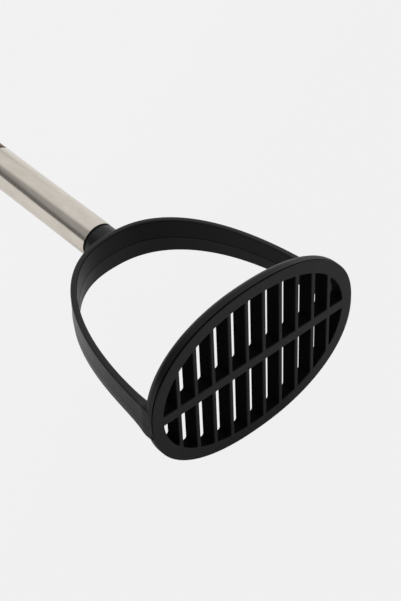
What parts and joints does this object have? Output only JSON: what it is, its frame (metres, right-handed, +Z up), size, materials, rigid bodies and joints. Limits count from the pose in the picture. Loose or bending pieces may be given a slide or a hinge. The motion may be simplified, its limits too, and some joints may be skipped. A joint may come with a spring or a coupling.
{
  "type": "potato masher",
  "caption": "Hand masher with a slotted oval grate on a strap bow, a round steel tube and a turned wooden grip; stored lying on its side.",
  "frame": {"origin": "on the surface that the masher lies on, under the middle of its bounding box", "axes": "+X along the long axis of the grate; +Y from the mashing face towards the grip, which droops by 6.3 degrees until it rests; +Z up, along the short axis of the grate"},
  "size_m": [0.113, 0.2936, 0.0847],
  "materials": {
    "nylon": "fine matt moulded nylon",
    "steel_tube": "satin, brushed along the tube",
    "seal": "matt black",
    "wood": "oiled acacia",
    "brass": "turned",
    "rod_steel": "plain drawn rod"
  },
  "bodies": {
    "root": {"mashing_head": "nylon", "collar_seal": "seal", "handle_tube": "steel_tube", "grip_seal": "seal", "wooden_grip": "wood", "spigot_insert": "brass", "grip_insert": "brass", "tie_rod": "rod_steel"}
  },
  "joints": []
}
